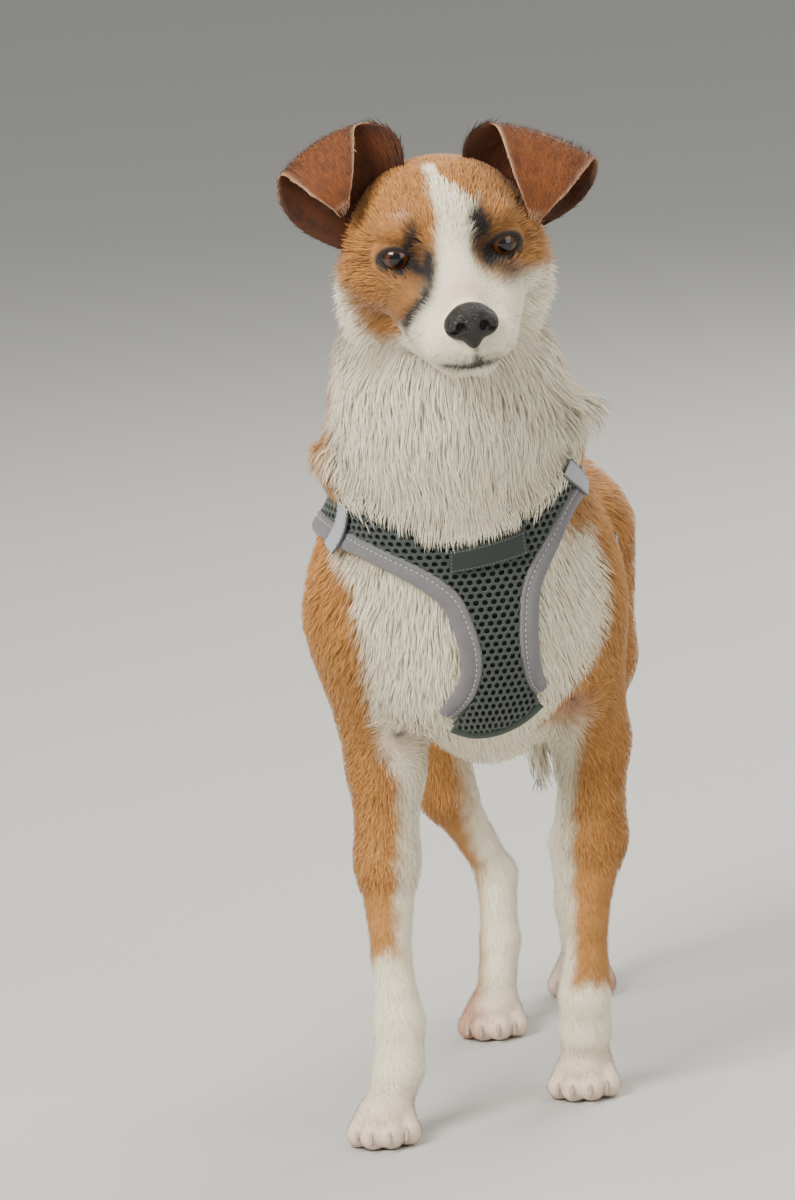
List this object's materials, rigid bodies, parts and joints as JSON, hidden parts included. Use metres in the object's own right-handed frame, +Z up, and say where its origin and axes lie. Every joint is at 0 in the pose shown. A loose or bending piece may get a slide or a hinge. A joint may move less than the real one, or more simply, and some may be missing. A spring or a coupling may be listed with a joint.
{
  "type": "dog",
  "caption": "Small tan and white terrier-type dog standing and looking round, in a grey step-in mesh harness: a still, life-size model.",
  "frame": {"origin": "on the floor, under the middle of the model's box", "axes": "+X towards the dog's left, -Y ahead of the dog, +Z up"},
  "size_m": [0.1904, 0.5838, 0.575],
  "materials": {
    "tan_coat": "short soft tan hair",
    "white_coat": "soft white hair, longest on the neck",
    "ear_coat": "fine red-brown hair, darker inside the cup",
    "nose": "moist pebbled dark skin",
    "eye": "wet amber-brown iris, black pupil",
    "claw": "horn",
    "vest_mesh": "dark grey-green spacer mesh with round holes",
    "binding": "grey woven tape",
    "webbing": "grey woven webbing",
    "black_plastic": "moulded",
    "label": "bare dark woven patch",
    "steel": "bright"
  },
  "bodies": {
    "root": {"binding_armhole_left": "binding", "binding_armhole_right": "binding", "binding_hem": "binding", "buckle_latch": "black_plastic", "buckle_socket": "black_plastic", "chest": "tan_coat", "claw_fore_left_1": "claw", "claw_fore_left_2": "claw", "claw_fore_left_3": "claw", "claw_fore_left_4": "claw", "claw_fore_right_1": "claw", "claw_fore_right_2": "claw", "claw_fore_right_3": "claw", "claw_fore_right_4": "claw", "claw_hind_left_1": "claw", "claw_hind_left_2": "claw", "claw_hind_left_3": "claw", "claw_hind_left_4": "claw", "claw_hind_right_1": "claw", "claw_hind_right_2": "claw", "claw_hind_right_3": "claw", "claw_hind_right_4": "claw", "ear_left": "ear_coat", "ear_right": "ear_coat", "eye_left": "eye", "eye_right": "eye", "foreleg_left": "tan_coat", "foreleg_right": "tan_coat", "forepaw_left": "white_coat", "forepaw_right": "white_coat", "head": "tan_coat", "hindfoot_left": "white_coat", "hindfoot_right": "white_coat", "keeper_left": "webbing", "keeper_right": "webbing", "label_patch": "label", "loin": "tan_coat", "lower_jaw": "white_coat", "neck": "white_coat", "nose": "nose", "ring_left": "steel", "ring_right": "steel", "rump": "tan_coat", "shank_left": "tan_coat", "shank_right": "tan_coat", "slider_left": "black_plastic", "slider_right": "black_plastic", "strap_girth_left": "webbing", "strap_girth_right": "webbing", "strap_shoulder_left": "webbing", "strap_shoulder_right": "webbing", "tab_left": "webbing", "tab_right": "webbing", "tail": "tan_coat", "thigh_left": "tan_coat", "thigh_right": "tan_coat", "vest_panel": "vest_mesh", "yoke_left": "webbing", "yoke_right": "webbing"}
  },
  "joints": []
}
